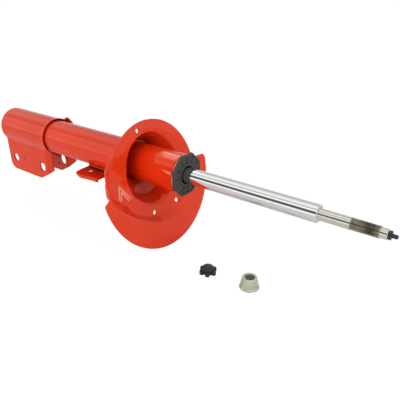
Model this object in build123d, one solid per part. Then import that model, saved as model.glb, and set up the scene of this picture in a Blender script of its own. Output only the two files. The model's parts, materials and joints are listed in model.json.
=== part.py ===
"""Front suspension strut: twin-tube gas damper with a turning by-pass adjuster.

Millimetres. The strut's axis is +X, from the base cap (x = 0) to the rod end. +Z is up, and the knuckle
bracket's ears point down. The rod is fully extended. The lock nut and adjuster knob lie loose beside it.
"""
from build123d import *
import math
import os

# ---- driving dimensions -------------------------------------------------------------------------------
TUBE_R = 27.2            # outer tube, outside
TUBE_BORE_R = 25.0
TUBE_END = 391.5         # rolled lip at the rod end
CYLINDER_R = 17.5        # pressure cylinder, outside
CYLINDER_BORE_R = 16.0
CYLINDER_START = 20.0
CYLINDER_END = 356.0
ROD_R = 11.0
ROD_SHOULDER = 586.0     # where the rod steps down to its neck
NECK_R = 7.05
THREAD_START = 622.0
THREAD_END = 653.0
THREAD_PITCH = 1.5
NOSE_R = 6.0
ROD_END = 662.0
ROD_BORE_R = 2.9
SPIGOT_R = 6.5           # reduced lower end that carries the piston
SPIGOT_START = 262.0
SPIGOT_SHOULDER = 300.0
SPOOL_BORE_R = 4.5
SPOOL_BORE_END = 310.0
RUN_GAP = 0.04           # radial running clearance
PLATE = 2.6              # knuckle bracket sheet
EAR_GAP = 40.8           # between the ears' inner faces
BRACKET_FOLD = 109.0     # crease ahead of the front edge
BRACKET_END = 120.0
EAR_BOTTOM = -76.0
CREASE_BOTTOM = -64.5    # the ears' lower edge, where it crosses the crease
FRONT_BOTTOM = -57.0     # and where it meets the front edge
BOLT_R = 7.1             # M14 knuckle bolts
BOLT_Z = -53.0
BOLT_LOW_X = 19.0
BOLT_HIGH_X = 96.0
SLOT_LENGTH = 17.0
SEAT_TILT = 13.0         # degrees, about Y
SEAT_SHEET = 3.0
SEAT_CENTRE = (340.0, 0.0, -20.0)
RACEWAY_R = 52.0         # inner edge of the spring's raceway
RACEWAY_OUTER_R = 70.0
WELL_FLOOR_R = 40.0
WELL_DEPTH = 26.0
WELL_OFFSET = 16.0       # well centre above the seat centre, in the seat's plane
RING_R = 85.0            # outer edge of the flat upper ring
FLANGE_R = 106.5         # outer edge of the raised lower flange
FLANGE_CENTRE = (1.0, 6.0)   # in the seat's plane
FLANGE_RISE = 8.0
FLANGE_START = 191.5         # where the raised flange begins, in degrees about the well's centre
FLANGE_SWEEP = 162.5
SEAT_CUT = 50.0              # half thickness of the cutters that trim the dish
DISH_R = 140.0               # the dish is drawn out to here, then trimmed
JOGGLE_START = 72.0          # radial walls that close the step at the flange's ends begin here
DRAIN_R = 3.5
HOSE_HOLE = (220.0, -20.5)
DRAIN_HOLES = [(-16, 74), (-14, -47.5), (33, -45)]
NUT_PLACE = (516.0, -26.0)
KNOB_PLACE = (455.0, -32.0)

SEAT_PLANE = Plane(
    origin=SEAT_CENTRE,
    x_dir=(0, 1, 0),
    z_dir=(math.cos(math.radians(SEAT_TILT)), 0, math.sin(math.radians(SEAT_TILT))),
)
# Level that the strut's flange and the loose pieces lie on: the flange's lowest point.
FLOOR_Z = (
    SEAT_CENTRE[2]
    + (FLANGE_CENTRE[1] - FLANGE_R) * math.cos(math.radians(SEAT_TILT))
    + (FLANGE_RISE - SEAT_SHEET) * math.sin(math.radians(SEAT_TILT))
)


# ---- helpers ------------------------------------------------------------------------------------------
def disc(start, end, radius, bore=0.0):
    """Round bar or ring along the strut's axis, from x = start to x = end."""
    plane = Plane.YZ.offset(start)
    ring = plane * Circle(radius)
    if bore:
        ring -= plane * Circle(bore)
    return extrude(ring, end - start)


def turned(outline):
    """Solid of revolution about the strut's axis, from (x, radius) points."""
    face = make_face(Plane.XZ * Polyline(*outline, close=True))
    return revolve(face, Axis.X)


def hexagon(start, end, across_flats):
    """Hexagonal bar along the strut's axis."""
    plane = Plane.YZ.offset(start)
    return extrude(plane * RegularPolygon(across_flats / 2, 6, major_radius=False), end - start)


def across(x, z, radius, slot_length=0.0):
    """Round or slotted cutter along Y, through both ears."""
    plane = Plane.XZ
    shape = Circle(radius)
    if slot_length:
        shape = Rot(0, 0, 90) * SlotOverall(slot_length, 2 * radius)
    return extrude(plane * (Pos(x, z) * shape), 60, both=True)


def ring_of(count, first=0.0):
    """Angles of evenly spaced features, in degrees."""
    return [first + 360 / count * i for i in range(count)]


# ---- outer tube and its ends --------------------------------------------------------------------------
def strut_tube():
    lip_r = 19.0
    lip = 3.0
    return turned([
        (0, TUBE_BORE_R), (0, TUBE_R), (TUBE_END - 2.5, TUBE_R), (TUBE_END, TUBE_R - 2.5), (TUBE_END, lip_r),
        (TUBE_END - lip, lip_r), (TUBE_END - lip, TUBE_BORE_R),
    ])


def base_cap():
    outer = TUBE_BORE_R
    return turned([
        (0, 0), (0, outer), (12, outer), (12, outer - 3), (4.5, outer - 3), (4.5, 18), (9, 18), (9, 12.5),
        (4.5, 12.5), (4.5, 0),
    ])


def end_ring():
    return turned([
        (TUBE_END, 14.5), (TUBE_END, 27.0), (TUBE_END + 0.8, 27.9), (TUBE_END + 2, 27.9), (TUBE_END + 2, 14.5),
    ])


def bump_cap():
    """Octagonal cap with a spigot in the end ring and raised radial ribs on its face."""
    start = TUBE_END + 2
    end = 397.0
    rib = 1.2
    plane = Plane.YZ.offset(start)
    body = extrude(plane * RegularPolygon(28.4, 8, major_radius=False, rotation=22.5), end - rib - start)
    body = chamfer(body.edges().group_by(Axis.X)[-1], 0.8)
    body += disc(TUBE_END + 0.5, start, 14.5)
    face = Plane.YZ.offset(end - rib)
    body += extrude(face * (Circle(16.0) - Circle(11.7)), rib)
    for angle in ring_of(8, 22.5):
        body += extrude(face * (Rot(0, 0, angle) * (Pos(20.0, 0) * Rectangle(9.0, 2.4))), rib)
    return body - disc(TUBE_END, end + 1, 11.7)


# ---- knuckle bracket ----------------------------------------------------------------------------------
def bracket_section():
    """Omega section in the YZ plane: wrap round the tube, then two parallel ears."""
    ear_y = EAR_GAP / 2 + PLATE
    depth = -EAR_BOTTOM
    outer = Circle(TUBE_R + PLATE) + Pos(0, -depth / 2) * Rectangle(2 * ear_y, depth)
    necks = [v for v in outer.vertices() if -30 < v.Y < -10]
    outer = fillet(necks, 7.0)
    inner = Circle(TUBE_R) + Pos(0, -depth / 2 - 1) * Rectangle(EAR_GAP, depth + 2)
    return outer - inner


def ear_outline():
    """Side view of the bracket behind its crease, which trims the ears' corners."""
    outline = make_face(Polyline(
        (0, 60), (BRACKET_FOLD, 60), (BRACKET_FOLD, CREASE_BOTTOM), (88, EAR_BOTTOM), (0, EAR_BOTTOM), close=True,
    ))
    lower_corner = outline.vertices().sort_by_distance((0, EAR_BOTTOM, 0))[0]
    return fillet(lower_corner, 13.0)


def edge_band(x, first, last, wrap_out, ear_out, bottom, side):
    """Thin section of the bracket's front edge at x: an arc of the wrap, then one ear."""
    arc_end = -38.0 if side > 0 else 218.0
    steps = 12
    angles = [first + (arc_end - first) * i / steps for i in range(steps + 1)]
    radius = TUBE_R + PLATE + wrap_out
    bore = max(TUBE_R, radius - PLATE)
    ear = EAR_GAP / 2 + PLATE + ear_out
    outer = [(radius * math.cos(math.radians(a)), radius * math.sin(math.radians(a))) for a in angles]
    inner = [(bore * math.cos(math.radians(a)), bore * math.sin(math.radians(a))) for a in angles]
    outer += [(side * ear, last), (side * ear, bottom)]
    inner += [(side * (ear - PLATE), last), (side * (ear - PLATE), bottom)]
    return Plane.YZ.offset(x) * make_face(Polyline(*outer, *reversed(inner), close=True))


def front_edges():
    """Front edge past the crease: turned in on the -Y side, flared out on the +Y side."""
    near = loft([
        edge_band(BRACKET_FOLD, 52, -27, 0, 0, CREASE_BOTTOM, -1),
        edge_band(BRACKET_END, 52, -27, -1.4, -4.0, FRONT_BOTTOM, -1),
    ], ruled=True)
    far = loft([
        edge_band(BRACKET_FOLD, 52, -27, 0, 0, CREASE_BOTTOM, 1),
        edge_band(BRACKET_END, 52, -27, 7.0, 8.0, FRONT_BOTTOM + 3, 1),
    ], ruled=True)
    return near + far


def knuckle_bracket():
    wrap = extrude(Plane.YZ * bracket_section(), BRACKET_FOLD)
    wrap &= extrude(Plane.XZ * ear_outline(), 60, both=True)
    body = wrap + front_edges()
    body -= across(BOLT_LOW_X, BOLT_Z, BOLT_R)
    body -= across(BOLT_HIGH_X, BOLT_Z, BOLT_R, SLOT_LENGTH)
    body -= Pos(0, -30, 0) * extrude(Plane.XZ * (Pos(47, -48) * Circle(2.4)), 15, both=True)
    return body - disc(0, BRACKET_END, TUBE_R)


def bracket_brace():
    """Channel welded between the ears, just under the tube."""
    web_top = -TUBE_R - 2.0
    skirt = 14.5
    width = EAR_GAP
    section = Pos(0, web_top - skirt / 2) * Rectangle(width, skirt)
    section -= Pos(0, web_top - PLATE - skirt / 2) * Rectangle(width - 2 * PLATE, skirt)
    section = fillet(section.vertices().group_by(Axis.Y)[-1], 4.0)
    return extrude(Plane.YZ.offset(12) * section, 84)


# ---- spring seat --------------------------------------------------------------------------------------
def well_profile(rise):
    """Half section of the stamped dish as (radius, height), about the well's centre."""
    t = SEAT_SHEET
    wall_back = RACEWAY_R + 1.9
    outline = [(0, -WELL_DEPTH - t), (WELL_FLOOR_R + 1.8, -WELL_DEPTH - t), (wall_back, -t)]
    if rise:
        step = RACEWAY_OUTER_R
        outline += [(step + 1, -t), (step + 7, rise - t), (DISH_R, rise - t), (DISH_R, rise)]
        outline += [(step + 5, rise), (step - 1, 0)]
    else:
        outline += [(DISH_R, -t), (DISH_R, 0)]
    outline += [(RACEWAY_R, 0), (WELL_FLOOR_R, -WELL_DEPTH), (0, -WELL_DEPTH)]
    return make_face(Plane.XZ * Polyline(*outline, close=True))


def dish(rise, first, sweep):
    """Part of the dish, swept from angle `first` about the well's centre, in the seat's own plane."""
    section = revolve(well_profile(rise), Axis.Z, sweep)
    return Pos(0, WELL_OFFSET, 0) * Rot(0, 0, first) * section


def ring_outline():
    """Outer edge of the flat ring, with the corner at the spring's stop on the -Y side."""
    stop_corner = make_face(Polyline((-41, 74.5), (-84, 41), (-88, 30), (-89, -8), (0, -8), close=True))
    return Circle(RING_R) + stop_corner


def joggle(angle, outer, side):
    """Radial wall from the flat ring up to the flange, just inside the flange's end at that angle."""
    height = FLANGE_RISE + SEAT_SHEET / 2
    wall = Box(outer - JOGGLE_START, SEAT_SHEET, height)
    wall = Pos((outer + JOGGLE_START) / 2, side * SEAT_SHEET / 2, height / 2 - SEAT_SHEET) * wall
    return Pos(0, WELL_OFFSET, 0) * Rot(0, 0, angle) * wall


def spring_seat():
    ring = dish(0.0, FLANGE_START + FLANGE_SWEEP, 360 - FLANGE_SWEEP)
    ring &= extrude(ring_outline(), SEAT_CUT, both=True)
    flange = dish(FLANGE_RISE, FLANGE_START, FLANGE_SWEEP)
    flange &= extrude(Pos(*FLANGE_CENTRE) * Circle(FLANGE_R), SEAT_CUT, both=True)
    seat = ring + flange + joggle(FLANGE_START, 89.5, 1) + joggle(FLANGE_START + FLANGE_SWEEP, 84.5, -1)
    for place in DRAIN_HOLES:
        seat -= Pos(*place) * Cylinder(DRAIN_R, 60)
    seat = SEAT_PLANE.location * seat
    seat += disc(300, 315, TUBE_R + SEAT_SHEET)
    return seat - disc(250, 400, TUBE_R)


# ---- hose bracket -------------------------------------------------------------------------------------
def hose_bracket():
    """Saddle under the tube, with a flat tab for the hose clip and a folded outer lip."""
    t = 2.5
    top = -TUBE_R - 3.0
    saddle = disc(206, 254, TUBE_R + 3.5, TUBE_R) & Pos(230, 2, -30) * Box(48, 26, 20)
    tab = make_face(Polyline(
        (203, 4), (203, -34), (206, -38), (221, -44.5), (238, -38), (254, -38), (254, 4), close=True))
    tab = extrude(Plane.XY.offset(top - t) * fillet(tab.vertices().group_by(Axis.Y)[0], 3.0), t)
    lip = Pos(246, -36.75, top - 2.2) * Box(16, t, 4.4)
    hole = Pos(*HOSE_HOLE, top) * Cylinder(4.2, 20)
    return saddle + tab + lip - hole - disc(200, 265, TUBE_R)


# ---- inner cylinder and base valve --------------------------------------------------------------------
def pressure_cylinder():
    return disc(CYLINDER_START, CYLINDER_END, CYLINDER_R, CYLINDER_BORE_R)


def base_valve_body():
    body = turned([(9, 0), (9, 18), (20, 18), (20, CYLINDER_BORE_R), (25, CYLINDER_BORE_R), (25, 0)])
    body -= disc(9, 16, 13)
    for angle in ring_of(8):
        body -= Rot(angle, 0, 0) * Pos(12, 0, 16) * Box(6.1, 3.5, 8)
    for angle in ring_of(6):
        body -= Rot(angle, 0, 0) * Pos(20, 0, 7.5) * Rot(0, 90, 0) * Cylinder(1.2, 12)
        body -= Rot(angle + 30, 0, 0) * Pos(20, 0, 11.8) * Rot(0, 90, 0) * Cylinder(1.6, 12)
    return body - disc(15, 26, 3.0)


def base_valve_pin():
    return turned([(10.5, 0), (10.5, 6), (13, 6), (13, 3), (31.8, 3), (31.8, 5.5), (33.3, 5.5), (33.3, 0)])


def base_valve_discs():
    """Compression shims under the base valve, held by the pin's head."""
    shims = [disc(13.02 + 0.75 * i, 13.72 + 0.75 * i, 7.0 + 1.1 * i, 3.05) for i in range(4)]
    return Compound(children=shims)


def base_check_plate():
    plate = disc(25.05, 26.05, 14.0, 3.2)
    for angle in ring_of(6):
        plate -= Rot(angle, 0, 0) * Pos(25.5, 0, 7.5) * Rot(0, 90, 0) * Cylinder(1.8, 4)
    return plate


def base_check_spring():
    """Conical coil between the check plate and the pin's collar."""
    path = Plane.YZ.offset(27.35) * Helix(pitch=1.3, height=3.9, radius=6.2, cone_angle=-12)
    section = Plane(origin=path @ 0, z_dir=path % 0) * Circle(0.4)
    return sweep(section, path, is_frenet=True)


# ---- rod guide and seals ------------------------------------------------------------------------------
def rod_guide():
    bush_r = 12.5
    guide = turned([
        (346, bush_r), (346, CYLINDER_BORE_R), (CYLINDER_END, CYLINDER_BORE_R), (CYLINDER_END, TUBE_BORE_R),
        (374, TUBE_BORE_R), (374, bush_r),
    ])
    guide -= disc(363, 365.4, TUBE_BORE_R + 1, TUBE_BORE_R - 2.0)
    for angle in ring_of(6):
        guide -= Rot(angle, 0, 0) * Pos(365, 0, 19.5) * Rot(0, 90, 0) * Cylinder(1.5, 30)
    return guide


def guide_bush():
    return disc(347, 373, 12.5, ROD_R + RUN_GAP)


def gland_oring():
    return Pos(364.2, 0, 0) * Rot(0, 90, 0) * Torus(TUBE_BORE_R - 0.95, 0.9)


def oil_seal():
    lip = ROD_R + RUN_GAP
    return turned([
        (374, 14), (374, TUBE_BORE_R), (379, TUBE_BORE_R), (379, 18), (383, 18), (383, 15), (382, 13), (383, lip),
        (381, lip), (378.5, 12.6), (376, lip), (375, lip),
    ])


def seal_washer():
    return turned([(379, 18.2), (379, TUBE_BORE_R), (388.5, TUBE_BORE_R), (388.5, 21), (384, 18.2)])


# ---- piston and rod -----------------------------------------------------------------------------------
def piston_band():
    return disc(282, 291, CYLINDER_BORE_R - RUN_GAP, 15.0)


def piston():
    body = turned([
        (278, SPIGOT_R), (278, 15.5), (281.9, 15.5), (281.9, 14.95), (291.1, 14.95), (291.1, 15.5), (294, 15.5),
        (294, SPIGOT_R),
    ])
    for angle in ring_of(6):
        body -= Rot(angle, 0, 0) * Pos(286, 0, 9.4) * Rot(0, 90, 0) * Cylinder(1.3, 20)
        body -= Rot(angle + 30, 0, 0) * Pos(286, 0, 12.3) * Rot(0, 90, 0) * Cylinder(1.6, 20)
    return body


def shim_stack(first, radii):
    """Thin discs from the piston outwards; the first one is the widest."""
    thickness = 0.7
    step = 0.72 if first > 286 else -0.72
    start = first + 0.02 if first > 286 else first - thickness - 0.02
    return Compound(children=[
        disc(start + step * i, start + step * i + thickness, radius, SPIGOT_R + 0.05)
        for i, radius in enumerate(radii)
    ])


def compression_discs():
    return shim_stack(294.0, (13.5, 12.0, 10.5))


def rebound_discs():
    return shim_stack(278.0, (11.0, 10.0, 9.2))


def valve_washers():
    return Compound(children=[disc(296.3, SPIGOT_SHOULDER, 10.5, SPIGOT_R), disc(273, 275.7, 9.0, SPIGOT_R)])


def piston_nut():
    return chamfer(hexagon(264, 273, 19.0).edges().group_by(Axis.X)[0], 0.8) - disc(263, 274, SPIGOT_R)


def piston_rod():
    depth = 0.75
    outline = [(SPIGOT_START, 0), (SPIGOT_START, SPIGOT_R - 0.8), (SPIGOT_START + 0.8, SPIGOT_R)]
    outline += [(SPIGOT_SHOULDER, SPIGOT_R), (SPIGOT_SHOULDER, ROD_R), (ROD_SHOULDER - 1, ROD_R)]
    outline += [(ROD_SHOULDER, ROD_R - 1), (ROD_SHOULDER, NECK_R), (THREAD_START, NECK_R)]
    turns = int((THREAD_END - THREAD_START) / THREAD_PITCH)
    for i in range(turns):
        root = THREAD_START + THREAD_PITCH * (i + 0.5)
        crest = THREAD_START + THREAD_PITCH * (i + 1)
        outline += [(root, NECK_R - depth), (crest - 0.1, NECK_R), (crest, NECK_R)]
    outline += [(THREAD_END + 1, NOSE_R), (ROD_END - 0.8, NOSE_R), (ROD_END, NOSE_R - 0.8), (ROD_END, 0)]
    rod = turned(outline)
    rod -= disc(SPOOL_BORE_END - 1, ROD_END + 1, ROD_BORE_R)
    rod -= disc(SPIGOT_START - 1, SPOOL_BORE_END, SPOOL_BORE_R)
    for angle in ring_of(4):
        rod -= Rot(angle, 0, 0) * Pos(304, 0, 8) * Cylinder(1.5, 12)
    return rod


def rebound_stop():
    return turned([(326, ROD_R), (326, 14.0), (328, 15.0), (334, 15.0), (334, ROD_R)])


def rebound_bumper():
    return turned([
        (334, ROD_R), (334, 14.6), (337, 15.2), (342, 14.0), (345, 12.6), (345.2, ROD_R),
    ])


# ---- adjuster -----------------------------------------------------------------------------------------
def spool_valve():
    spool = disc(264.5, 306, SPOOL_BORE_R - RUN_GAP) - disc(264, 306.5 - 6, 2.6)
    for angle in ring_of(2):
        spool -= Rot(angle, 0, 0) * Pos(300, 0, 3.5) * Cylinder(1.4, 4)
    return spool


def control_rod():
    groove = 0.55
    shaft_r = 2.45
    outline = [(306, 0), (306, shaft_r)]
    for start in (636.0, 644.0):
        outline += [(start, shaft_r), (start, shaft_r - groove), (start + 1.2, shaft_r - groove), (start + 1.2, shaft_r)]
    return turned(outline + [(ROD_END + 0.3, shaft_r), (ROD_END + 0.3, 0)])


def control_orings():
    ring = Rot(0, 90, 0) * Torus(2.4, 0.45)
    return Compound(children=[Pos(x, 0, 0) * ring for x in (636.6, 644.6)])


def adjuster_tip():
    """Collar against the nose and a pin with two flats for the knob."""
    start = ROD_END + 0.3
    collar_r = 5.2
    tip = turned([
        (start, 0), (start, collar_r - 0.4), (start + 0.4, collar_r), (start + 3, collar_r), (start + 4, 2.4),
        (671, 2.4), (671.8, 1.6), (671.8, 0),
    ])
    flats = Pos(670, 0, 0) * (Box(5, 6, 6) - Box(6, 3.4, 8))
    return tip - flats


# ---- loose nut and knob -------------------------------------------------------------------------------
def lock_nut():
    """Flanged lock nut, standing on its flange."""
    flange_r = 13.0
    hex_top = 11.5
    top = 15.6
    body = Cone(flange_r, 10.5, 3.2, align=(Align.CENTER, Align.CENTER, Align.MIN))
    body = Cylinder(flange_r, 1.2, align=(Align.CENTER, Align.CENTER, Align.MIN)) + Pos(0, 0, 1.2) * body
    hexagonal = extrude(RegularPolygon(10.0, 6, major_radius=False), hex_top)
    rounded = Cone(14.0, 9.8, hex_top + 0.1, align=(Align.CENTER, Align.CENTER, Align.MIN))
    body += hexagonal & rounded
    body += Pos(0, 0, hex_top - 1) * Cone(9.6, 8.8, top - hex_top + 1, align=(Align.CENTER, Align.CENTER, Align.MIN))
    body -= Pos(0, 0, 8) * Cylinder(6.2, 20)
    body -= Pos(0, 0, 12.9) * Cylinder(8.0, 3.2)
    return Pos(*NUT_PLACE, FLOOR_Z) * body


def nut_insert():
    ring = Cylinder(8.0, 3.0) - Cylinder(6.1, 4)
    return Pos(*NUT_PLACE, FLOOR_Z + 12.9) * ring


def adjuster_knob():
    """Six-lobed knob with a fluted grip, lying on its socket side."""
    lobes = 6
    body = Cylinder(10.2, 6.5, align=(Align.CENTER, Align.CENTER, Align.MIN))
    for angle in ring_of(lobes):
        lobe = Cylinder(3.0, 6.5, align=(Align.CENTER, Align.CENTER, Align.MIN))
        body += Rot(0, 0, angle) * Pos(9.3, 0, 0) * lobe
    body += Cylinder(6.6, 9.5, align=(Align.CENTER, Align.CENTER, Align.MIN))
    for angle in ring_of(lobes, 30):
        body -= Rot(0, 0, angle) * Pos(7.4, 0, 8.3) * Cylinder(1.5, 3.6)
    socket = Cylinder(2.5, 12) & Box(6, 3.6, 14)
    return Pos(*KNOB_PLACE, FLOOR_Z) * (body - socket)


PIECES = [
    strut_tube, base_cap, end_ring, bump_cap, knuckle_bracket, bracket_brace, spring_seat, hose_bracket,
    pressure_cylinder, base_valve_body, base_valve_pin, base_valve_discs, base_check_plate, base_check_spring,
    rod_guide, guide_bush, gland_oring, oil_seal, seal_washer, piston_band, piston, compression_discs,
    rebound_discs, valve_washers, piston_nut, piston_rod, rebound_stop, rebound_bumper, spool_valve, control_rod,
    control_orings, adjuster_tip, lock_nut, nut_insert, adjuster_knob,
]

os.makedirs("parts", exist_ok=True)
for piece in PIECES:
    export_step(piece(), f"parts/{piece.__name__}.step")
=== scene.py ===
"""Looks of the strut assembly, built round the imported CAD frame. Metres, in the CAD's frame."""
import json
import math

import bmesh
import bpy
import numpy as np
from mathutils import Matrix, Vector
from mathutils.bvhtree import BVHTree


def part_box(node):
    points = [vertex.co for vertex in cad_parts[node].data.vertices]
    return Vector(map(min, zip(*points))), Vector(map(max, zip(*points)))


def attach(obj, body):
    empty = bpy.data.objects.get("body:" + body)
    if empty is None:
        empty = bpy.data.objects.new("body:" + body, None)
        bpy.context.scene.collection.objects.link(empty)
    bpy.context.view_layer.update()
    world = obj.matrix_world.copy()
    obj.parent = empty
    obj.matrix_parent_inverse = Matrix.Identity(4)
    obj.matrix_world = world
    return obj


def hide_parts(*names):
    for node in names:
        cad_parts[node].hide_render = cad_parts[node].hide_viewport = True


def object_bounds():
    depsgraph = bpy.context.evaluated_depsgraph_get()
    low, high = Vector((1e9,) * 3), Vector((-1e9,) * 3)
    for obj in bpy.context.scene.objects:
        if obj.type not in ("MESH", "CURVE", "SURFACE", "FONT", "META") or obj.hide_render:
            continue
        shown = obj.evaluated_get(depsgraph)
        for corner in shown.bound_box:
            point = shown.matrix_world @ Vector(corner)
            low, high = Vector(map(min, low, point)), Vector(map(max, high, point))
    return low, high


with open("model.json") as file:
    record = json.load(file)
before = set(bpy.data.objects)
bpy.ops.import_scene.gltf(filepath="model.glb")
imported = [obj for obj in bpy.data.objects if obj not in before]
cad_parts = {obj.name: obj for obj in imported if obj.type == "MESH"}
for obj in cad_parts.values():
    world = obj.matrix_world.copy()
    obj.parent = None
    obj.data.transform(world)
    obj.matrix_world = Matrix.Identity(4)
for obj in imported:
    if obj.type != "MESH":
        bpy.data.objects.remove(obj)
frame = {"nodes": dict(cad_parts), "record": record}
cad_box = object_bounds()
nodes = frame["nodes"]
MM = 0.001

# ---- sizes shared with the CAD, in mm -----------------------------------------------------------------
TUBE_R = 27.2
ROD_R = 11.0
ROD_SHOULDER = 586.0
NECK_R = 7.05
THREAD_START = 622.0
THREAD_END = 653.0
THREAD_PITCH = 1.5
THREAD_DEPTH = 0.75
ROD_END = 662.0
NOSE_R = 6.0
SEAT_TILT = math.radians(13.0)
SEAT_CENTRE = Vector((340.0, 0.0, -20.0))
SEAT_SHEET = 3.0
WELL_OFFSET = 16.0           # the well's centre above the seat's centre, in the seat's plane
WELL_DEPTH = 26.0
WELL_ROOT = 36.0             # the well's floor slopes down to here where it meets the tube


# ---- materials ----------------------------------------------------------------------------------------
class Nodes:
    """A node tree being built, with short calls for the nodes used here."""

    def __init__(self, tree):
        self.tree = tree
        tree.nodes.clear()

    def add(self, kind, inputs=None, **settings):
        node = self.tree.nodes.new(kind)
        for key, value in settings.items():
            setattr(node, key, value)
        for key, value in (inputs or {}).items():
            socket = node.inputs[key]
            if isinstance(value, bpy.types.NodeSocket):
                self.tree.links.new(value, socket)
            else:
                socket.default_value = value
        return node

    def maths(self, operation, a, b=0.0, clamp=False):
        return self.add("ShaderNodeMath", {0: a, 1: b}, operation=operation, use_clamp=clamp).outputs[0]

    def noise(self, vector, scale, detail=3.0, roughness=0.5):
        inputs = {"Vector": vector, "Scale": scale, "Detail": detail, "Roughness": roughness}
        return self.add("ShaderNodeTexNoise", inputs).outputs["Fac"]

    def spread(self, value, low, high, to_low=0.0, to_high=1.0):
        inputs = {"Value": value, "From Min": low, "From Max": high, "To Min": to_low, "To Max": to_high}
        return self.add("ShaderNodeMapRange", inputs).outputs["Result"]

    def mix(self, factor, a, b, blend="MIX"):
        node = self.add("ShaderNodeMix", {0: factor, 6: a, 7: b}, data_type="RGBA", blend_type=blend)
        return node.outputs[2]

    def stretched(self, scale):
        """Object coordinates, scaled by axis."""
        place = self.add("ShaderNodeTexCoord").outputs["Object"]
        return self.add("ShaderNodeMapping", {"Vector": place, "Scale": scale}).outputs["Vector"]

    def edges(self, radius):
        """1 on convex or concave edges within that radius, 0 on open surface."""
        rounded = self.add("ShaderNodeBevel", {"Radius": radius}, samples=6).outputs["Normal"]
        true = self.add("ShaderNodeNewGeometry").outputs["Normal"]
        dot = self.add("ShaderNodeVectorMath", {0: rounded, 1: true}, operation="DOT_PRODUCT")
        return self.spread(dot.outputs["Value"], 0.99, 0.85)


def rgba(colour):
    return (*colour, 1.0)


def material(name, base, worn, rough, metal=0.0, grain=400.0, relief=0.02, mottle=25.0, streak=(1, 1, 1),
             edge=0.0006, edge_shade=0.6, sheen_tone=(1, 1, 1), crevice_shade=0.0):
    """A finish that drifts between base and worn, with its own grain, painted shade on its edges and
    painted shade in its recesses.
    """
    made = bpy.data.materials.new(name)
    made.use_nodes = True
    n = Nodes(made.node_tree)
    place = n.stretched(streak)
    drift = n.spread(n.noise(place, mottle, 4.0), 0.35, 0.7)
    fine = n.noise(place, grain, 2.0)
    colour = n.mix(drift, rgba(base), rgba(worn))
    # Painted shade: convex edges and concave creases within the edge radius are darkened towards a dark
    # copy of the worn colour.
    colour = n.mix(n.maths("MULTIPLY", n.edges(edge), edge_shade), colour, rgba([c * 0.45 for c in worn]))
    # Painted shade: ambient occlusion darkens recesses, such as the seat's well and the walls of holes,
    # towards near black.
    if crevice_shade:
        occlusion_shade = n.add("ShaderNodeAmbientOcclusion", {"Distance": 0.03}, samples=6).outputs["AO"]
        colour = n.mix(n.spread(occlusion_shade, 0.5, 0.12, 0.0, crevice_shade), colour, rgba([c * 0.2 for c in worn]))
    roughness = n.spread(n.maths("ADD", drift, fine), 0.4, 1.6, rough * 0.8, rough * 1.25)
    bump = n.add("ShaderNodeBump", {"Strength": relief, "Distance": 0.0004, "Height": fine})
    shader = n.add("ShaderNodeBsdfPrincipled", {
        "Base Color": colour, "Roughness": roughness, "Metallic": metal, "Normal": bump.outputs["Normal"],
        "Specular Tint": rgba(sheen_tone),
    })
    n.add("ShaderNodeOutputMaterial", {"Surface": shader.outputs["BSDF"]})
    return made


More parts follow.
